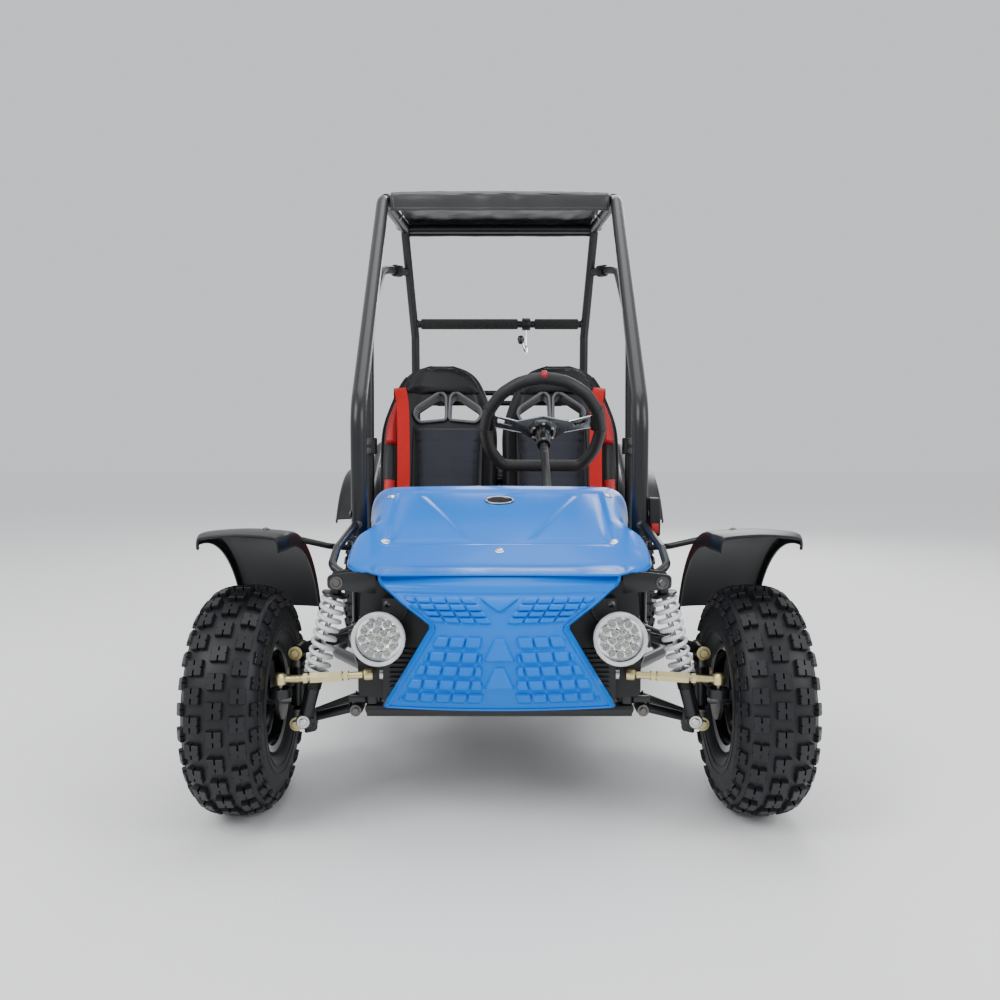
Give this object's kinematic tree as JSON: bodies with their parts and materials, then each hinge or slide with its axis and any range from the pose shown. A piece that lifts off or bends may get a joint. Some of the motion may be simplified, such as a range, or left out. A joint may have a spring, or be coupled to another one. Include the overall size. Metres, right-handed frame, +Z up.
{
  "type": "two-seat off-road kart",
  "caption": "Youth off-road kart: tube chassis and roll cage, two bucket seats, double-wishbone front suspension, swing-arm rear axle and steering.",
  "frame": {"origin": "on the ground, midway between the axles on the centre line", "axes": "-Y forwards, +Z up, +X to the viewer's right when facing the nose"},
  "size_m": [1.073, 1.606, 1.3415],
  "materials": {
    "black_frame": "gloss powder coat",
    "blue_panel": "high gloss",
    "black_plastic": "satin",
    "lamp": "clear lens over silver reflector",
    "canopy_vinyl": "shiny coated cloth",
    "seat_vinyl": "satin vinyl",
    "engine_alloy": "cast",
    "steel": "zinc plated",
    "zinc_gold": "yellow zinc plated",
    "wheel_grip": "padded",
    "black_damper": "gloss",
    "white_spring": "gloss",
    "tyre": "moulded rubber",
    "black_rim": "gloss"
  },
  "bodies": {
    "frame": {"lower_frame": "black_frame", "front_frame": "black_frame", "rear_frame": "black_frame", "front_hoop": "black_frame", "rear_hoop": "black_frame", "side_bar_left": "black_frame", "side_bar_right": "black_frame", "hood": "blue_panel", "nose_cover": "blue_panel", "front_box": "black_plastic", "floor_pan": "black_plastic", "fuel_tank": "black_plastic", "front_fender_left": "black_plastic", "front_fender_right": "black_plastic", "rear_fender_left": "black_plastic", "rear_fender_right": "black_plastic", "headlight_left": "lamp", "headlight_right": "lamp", "canopy": "canopy_vinyl", "seat_left": "seat_vinyl", "seat_right": "seat_vinyl", "engine": "engine_alloy", "muffler": "steel"},
    "steering": {"steering_wheel": "wheel_grip", "steering_column": "black_frame"},
    "rack": {"steering_rack": "steel"},
    "shift": {"shift_lever": "steel"},
    "brake": {"brake_pedal": "black_frame"},
    "throttle": {"throttle_pedal": "black_frame"},
    "swing_arm": {"swing_arm": "black_frame", "chain": "steel"},
    "rear_axle": {"rear_axle": "steel", "rear_tyre_left": "tyre", "rear_tyre_right": "tyre", "rear_rim_left": "black_rim", "rear_rim_right": "black_rim"},
    "drive_sprocket": {"drive_sprocket": "steel"},
    "rear_shock_rod": {"rear_shock_rod": "steel", "rear_spring": "white_spring"},
    "rear_shock_body": {"rear_shock_body": "black_damper"},
    "lower_arm_left": {"lower_arm_left": "black_frame"},
    "upper_arm_left": {"upper_arm_left": "black_frame"},
    "kingpin_left": {"kingpin_left": "steel"},
    "knuckle_left": {"knuckle_left": "black_frame"},
    "front_wheel_left": {"front_tyre_left": "tyre", "front_rim_left": "black_rim"},
    "tie_rod_left": {"tie_rod_left": "zinc_gold"},
    "shock_rod_left": {"front_shock_rod_left": "steel", "front_spring_left": "white_spring"},
    "shock_body_left": {"front_shock_body_left": "black_damper"},
    "lower_arm_right": {"lower_arm_right": "black_frame"},
    "upper_arm_right": {"upper_arm_right": "black_frame"},
    "kingpin_right": {"kingpin_right": "steel"},
    "knuckle_right": {"knuckle_right": "black_frame"},
    "front_wheel_right": {"front_tyre_right": "tyre", "front_rim_right": "black_rim"},
    "tie_rod_right": {"tie_rod_right": "zinc_gold"},
    "shock_rod_right": {"front_shock_rod_right": "steel", "front_spring_right": "white_spring"},
    "shock_body_right": {"front_shock_body_right": "black_damper"}
  },
  "joints": [
    {"name": "steering_turn", "type": "hinge", "parent": "frame", "child": "steering", "pos_m": [0.107, 0.045, 0.688], "axis": [0, 0.866, 0.5], "range_deg": [-90, 90]},
    {"name": "rack_slide", "type": "slide", "parent": "frame", "child": "rack", "axis": [1, 0, 0], "range_m": [-0.0312, 0.0312]},
    {"name": "suspension_left", "type": "hinge", "parent": "frame", "child": "lower_arm_left", "pos_m": [-0.25, -0.6, 0.198], "axis": [0, 1, 0], "range_deg": [-4, 10], "stiffness_Nm_per_rad": 150, "springref_deg": -17.19},
    {"name": "upper_arm_swing_left", "type": "hinge", "parent": "frame", "child": "upper_arm_left", "pos_m": [-0.25, -0.6, 0.326], "axis": [0, 1, 0], "range_deg": [-10, 10]},
    {"name": "kingpin_level_left", "type": "hinge", "parent": "lower_arm_left", "child": "kingpin_left", "pos_m": [-0.362, -0.6, 0.162], "axis": [0, 1, 0], "range_deg": [-10, 10]},
    {"name": "kingpin_steer_left", "type": "hinge", "parent": "kingpin_left", "child": "knuckle_left", "pos_m": [-0.362, -0.6, 0.203], "axis": [0, 0, 1], "range_deg": [-18.1, 18.1]},
    {"name": "front_wheel_spin_left", "type": "hinge", "parent": "knuckle_left", "child": "front_wheel_left", "pos_m": [-0.456, -0.6, 0.203], "axis": [1, 0, 0], "continuous": true},
    {"name": "tie_rod_swing_left", "type": "hinge", "parent": "rack", "child": "tie_rod_left", "pos_m": [-0.214, -0.7, 0.272], "axis": [0, 1, 0], "range_deg": [-7.2, 7.2]},
    {"name": "shock_swing_left", "type": "hinge", "parent": "frame", "child": "shock_rod_left", "pos_m": [-0.278, -0.66, 0.425], "axis": [0, 1, 0], "range_deg": [-1.6, 1.6]},
    {"name": "shock_stroke_left", "type": "slide", "parent": "shock_rod_left", "child": "shock_body_left", "axis": [-0.2453, 0, -0.9694], "range_m": [-0.0147, 0.0147], "deforming": ["front_spring_left"]},
    {"name": "suspension_right", "type": "hinge", "parent": "frame", "child": "lower_arm_right", "pos_m": [0.25, -0.6, 0.198], "axis": [0, -1, 0], "range_deg": [-4, 10], "stiffness_Nm_per_rad": 150, "springref_deg": -17.19},
    {"name": "upper_arm_swing_right", "type": "hinge", "parent": "frame", "child": "upper_arm_right", "pos_m": [0.25, -0.6, 0.326], "axis": [0, -1, 0], "range_deg": [-10, 10]},
    {"name": "kingpin_level_right", "type": "hinge", "parent": "lower_arm_right", "child": "kingpin_right", "pos_m": [0.362, -0.6, 0.162], "axis": [0, -1, 0], "range_deg": [-10, 10]},
    {"name": "kingpin_steer_right", "type": "hinge", "parent": "kingpin_right", "child": "knuckle_right", "pos_m": [0.362, -0.6, 0.203], "axis": [0, 0, 1], "range_deg": [-18.1, 18.1]},
    {"name": "front_wheel_spin_right", "type": "hinge", "parent": "knuckle_right", "child": "front_wheel_right", "pos_m": [0.456, -0.6, 0.203], "axis": [1, 0, 0], "continuous": true},
    {"name": "tie_rod_swing_right", "type": "hinge", "parent": "rack", "child": "tie_rod_right", "pos_m": [0.214, -0.7, 0.272], "axis": [0, -1, 0], "range_deg": [-7.2, 7.2]},
    {"name": "shock_swing_right", "type": "hinge", "parent": "frame", "child": "shock_rod_right", "pos_m": [0.278, -0.66, 0.425], "axis": [0, -1, 0], "range_deg": [-1.6, 1.6]},
    {"name": "shock_stroke_right", "type": "slide", "parent": "shock_rod_right", "child": "shock_body_right", "axis": [0.2453, 0, -0.9694], "range_m": [-0.0147, 0.0147], "deforming": ["front_spring_right"]},
    {"name": "rear_suspension", "type": "hinge", "parent": "frame", "child": "swing_arm", "pos_m": [0, 0.315, 0.235], "axis": [1, 0, 0], "range_deg": [-6, 6], "stiffness_Nm_per_rad": 1200, "springref_deg": -11.46},
    {"name": "rear_axle_spin", "type": "hinge", "parent": "swing_arm", "child": "rear_axle", "pos_m": [0, 0.6, 0.203], "axis": [1, 0, 0], "continuous": true},
    {"name": "drive_sprocket_spin", "type": "hinge", "parent": "swing_arm", "child": "drive_sprocket", "pos_m": [-0.158, 0.315, 0.235], "axis": [1, 0, 0], "continuous": true},
    {"name": "rear_shock_swing", "type": "hinge", "parent": "frame", "child": "rear_shock_rod", "pos_m": [0, 0.725, 0.5], "axis": [1, 0, 0], "range_deg": [-1.5, 1.5]},
    {"name": "rear_shock_stroke", "type": "slide", "parent": "rear_shock_rod", "child": "rear_shock_body", "axis": [0, -0.1854, -0.9827], "range_m": [-0.0372, 0.0372], "deforming": ["rear_spring"]},
    {"name": "brake_press", "type": "hinge", "parent": "frame", "child": "brake", "pos_m": [0.03, -0.44, 0.235], "axis": [1, 0, 0], "range_deg": [0, 18], "stiffness_Nm_per_rad": 3, "springref_deg": -17.19},
    {"name": "throttle_press", "type": "hinge", "parent": "frame", "child": "throttle", "pos_m": [0.18, -0.44, 0.235], "axis": [1, 0, 0], "range_deg": [0, 18], "stiffness_Nm_per_rad": 2, "springref_deg": -17.19},
    {"name": "shift_turn", "type": "hinge", "parent": "frame", "child": "shift", "pos_m": [0.085, 0.735, 1.03], "axis": [1, 0, 0], "range_deg": [-15, 15]}
  ],
  "couplings": [
    {"joint": "rack_slide", "follows": "steering_turn", "m_per_rad": 0.0198},
    {"joint": "upper_arm_swing_left", "follows": "suspension_left", "ratio": 1},
    {"joint": "kingpin_level_left", "follows": "suspension_left", "ratio": -1},
    {"joint": "kingpin_steer_left", "follows": "steering_turn", "ratio": 0.2},
    {"joint": "tie_rod_swing_left", "follows": "suspension_left", "ratio": 0.709},
    {"joint": "shock_swing_left", "follows": "suspension_left", "ratio": 0.156},
    {"joint": "shock_stroke_left", "follows": "suspension_left", "m_per_rad": -0.0829},
    {"joint": "upper_arm_swing_right", "follows": "suspension_right", "ratio": 1},
    {"joint": "kingpin_level_right", "follows": "suspension_right", "ratio": -1},
    {"joint": "kingpin_steer_right", "follows": "steering_turn", "ratio": 0.2},
    {"joint": "tie_rod_swing_right", "follows": "suspension_right", "ratio": 0.709},
    {"joint": "shock_swing_right", "follows": "suspension_right", "ratio": 0.156},
    {"joint": "shock_stroke_right", "follows": "suspension_right", "m_per_rad": -0.0829},
    {"joint": "drive_sprocket_spin", "follows": "rear_axle_spin", "ratio": 3},
    {"joint": "rear_shock_swing", "follows": "rear_suspension", "ratio": -0.2474},
    {"joint": "rear_shock_stroke", "follows": "rear_suspension", "m_per_rad": -0.3538}
  ]
}
